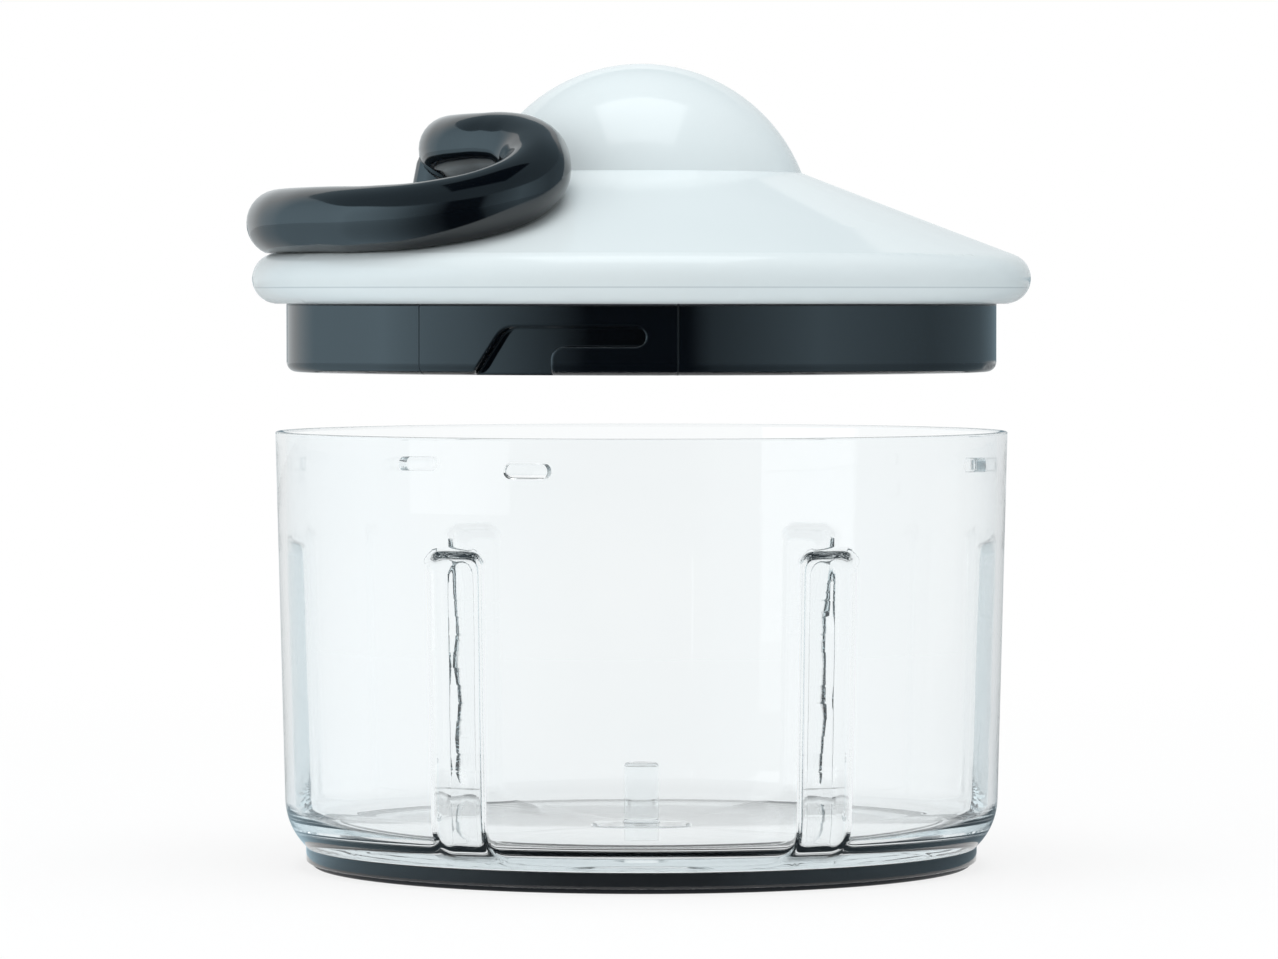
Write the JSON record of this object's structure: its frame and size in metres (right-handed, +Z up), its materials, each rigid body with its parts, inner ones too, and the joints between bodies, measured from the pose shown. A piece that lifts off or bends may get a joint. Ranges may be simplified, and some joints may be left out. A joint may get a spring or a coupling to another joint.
{
  "type": "pull cord food chopper",
  "caption": "Hand food chopper: a clear ribbed bowl with a blade pin and a domed lid that holds a cord reel, recoil spring, one-way clutch and a looped pull handle.",
  "frame": {"origin": "on the table under the middle of the bowl's foot ring", "axes": "+Z up along the blade pin and the lid's axis, -X towards the parked handle, -Y towards the viewer"},
  "size_m": [0.1432, 0.1422, 0.1465],
  "materials": {
    "clear_plastic": "clear polished",
    "foot_rubber": "satin",
    "white_plastic": "polished",
    "black_plastic": "polished",
    "seal_rubber": "matte",
    "bearing_plastic": "matte",
    "clutch_plastic": "matte",
    "steel": "ground",
    "spring_steel": "blued",
    "cord": "braided"
  },
  "bodies": {
    "bowl": {"bowl": "clear_plastic", "foot_ring": "foot_rubber"},
    "seal": {"lid_seal": "seal_rubber"},
    "lid": {"lid_cover": "white_plastic", "lid_base": "black_plastic", "lid_screws": "steel", "reel_axle": "steel", "axle_clip": "spring_steel", "cord_eyelet": "bearing_plastic", "recoil_spring": "spring_steel", "cord_lead": "cord", "drive_bush": "bearing_plastic"},
    "handle": {"handle": "black_plastic", "cord_tail": "cord", "knot_plug": "black_plastic"},
    "reel": {"reel_drum": "bearing_plastic", "spring_cup": "bearing_plastic", "cord_winding": "cord"},
    "front_pawl": {"pawl_front": "clutch_plastic"},
    "rear_pawl": {"pawl_rear": "clutch_plastic"},
    "drive": {"ratchet_cup": "clutch_plastic", "drive_socket": "black_plastic"}
  },
  "joints": [
    {"name": "lid_lift", "type": "slide", "parent": "bowl", "child": "seal", "axis": [0, 0, 1], "range_m": [-0.0231, 0.06]},
    {"name": "lid_twist", "type": "hinge", "parent": "seal", "child": "lid", "pos_m": [0, 0, 0.1027], "axis": [0, 0, -1], "range_deg": [0, 14.5]},
    {"name": "handle_pull", "type": "slide", "parent": "lid", "child": "handle", "axis": [-1, 0, 0], "range_m": [0, 0.3], "stiffness_N_per_m": 8},
    {"name": "reel_spin", "type": "hinge", "parent": "lid", "child": "reel", "pos_m": [0, 0, 0.1309], "axis": [0, 0, -1], "range_deg": [0, 1240]},
    {"name": "drive_spin", "type": "hinge", "parent": "lid", "child": "drive", "pos_m": [0, 0, 0.12], "axis": [0, 0, -1], "range_deg": [0, 1240]},
    {"name": "front_pawl_swing", "type": "hinge", "parent": "reel", "child": "front_pawl", "pos_m": [-0.00672, -0.00672, 0.12625], "axis": [0, 0, -1], "range_deg": [0, 12]},
    {"name": "rear_pawl_swing", "type": "hinge", "parent": "reel", "child": "rear_pawl", "pos_m": [0.00672, 0.00672, 0.12625], "axis": [0, 0, -1], "range_deg": [0, 12]}
  ],
  "couplings": [
    {"joint": "reel_spin", "follows": "handle_pull", "rad_per_m": 70.67},
    {"joint": "drive_spin", "follows": "handle_pull", "rad_per_m": 70.67},
    {"joint": "rear_pawl_swing", "follows": "front_pawl_swing", "ratio": 1}
  ]
}
